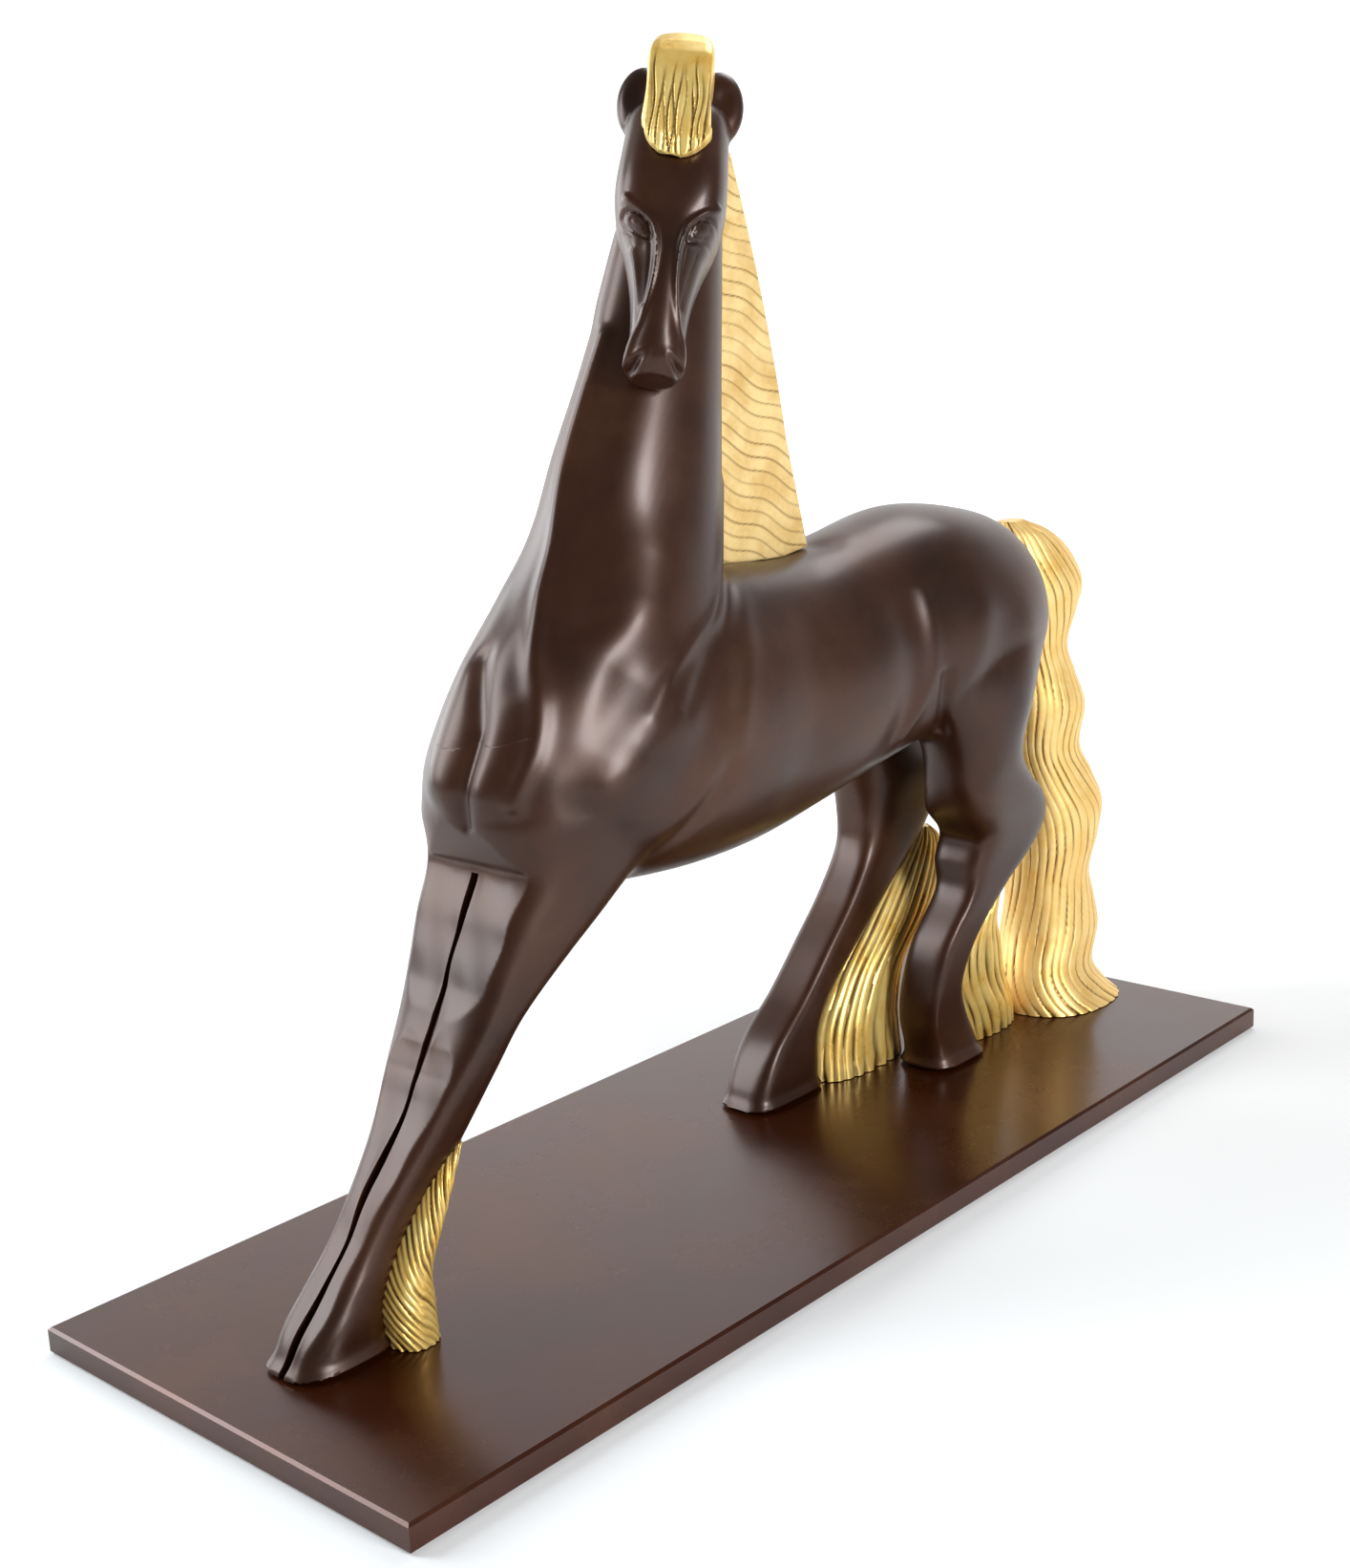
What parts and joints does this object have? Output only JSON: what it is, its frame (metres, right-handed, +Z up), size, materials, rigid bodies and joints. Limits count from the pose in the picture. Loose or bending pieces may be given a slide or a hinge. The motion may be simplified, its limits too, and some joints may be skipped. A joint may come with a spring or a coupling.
{
  "type": "bronze horse statuette",
  "caption": "Striding horse statuette in dark bronze with gilded mane, forelock, tail and fetlock feathers, standing on a long flat bronze plate.",
  "frame": {"origin": "centre of the plate's underside", "axes": "+X along the plate, the way the horse strides; +Y to the horse's left; +Z up"},
  "size_m": [0.41, 0.15, 0.3458],
  "materials": {
    "dark_bronze": "waxed very dark brown bronze patina, half glossy",
    "plate_bronze": "mottled warm brown patina, worn to lighter metal along the edges",
    "gilding": "gold leaf over engraved strands, darker in the tool marks",
    "screw_steel": "plain zinc-coated steel"
  },
  "bodies": {
    "root": {"base_plate": "plate_bronze", "torso": "dark_bronze", "neck": "dark_bronze", "head": "dark_bronze", "left_foreleg": "dark_bronze", "right_foreleg": "dark_bronze", "left_hind_leg": "dark_bronze", "right_hind_leg": "dark_bronze", "mane": "gilding", "forelock": "gilding", "tail": "gilding", "left_fore_feather": "gilding", "right_fore_feather": "gilding", "left_hind_feather": "gilding", "right_hind_feather": "gilding", "left_fore_screw": "screw_steel", "right_fore_screw": "screw_steel", "left_hind_screw": "screw_steel", "right_hind_screw": "screw_steel", "tail_screw": "screw_steel"}
  },
  "joints": []
}
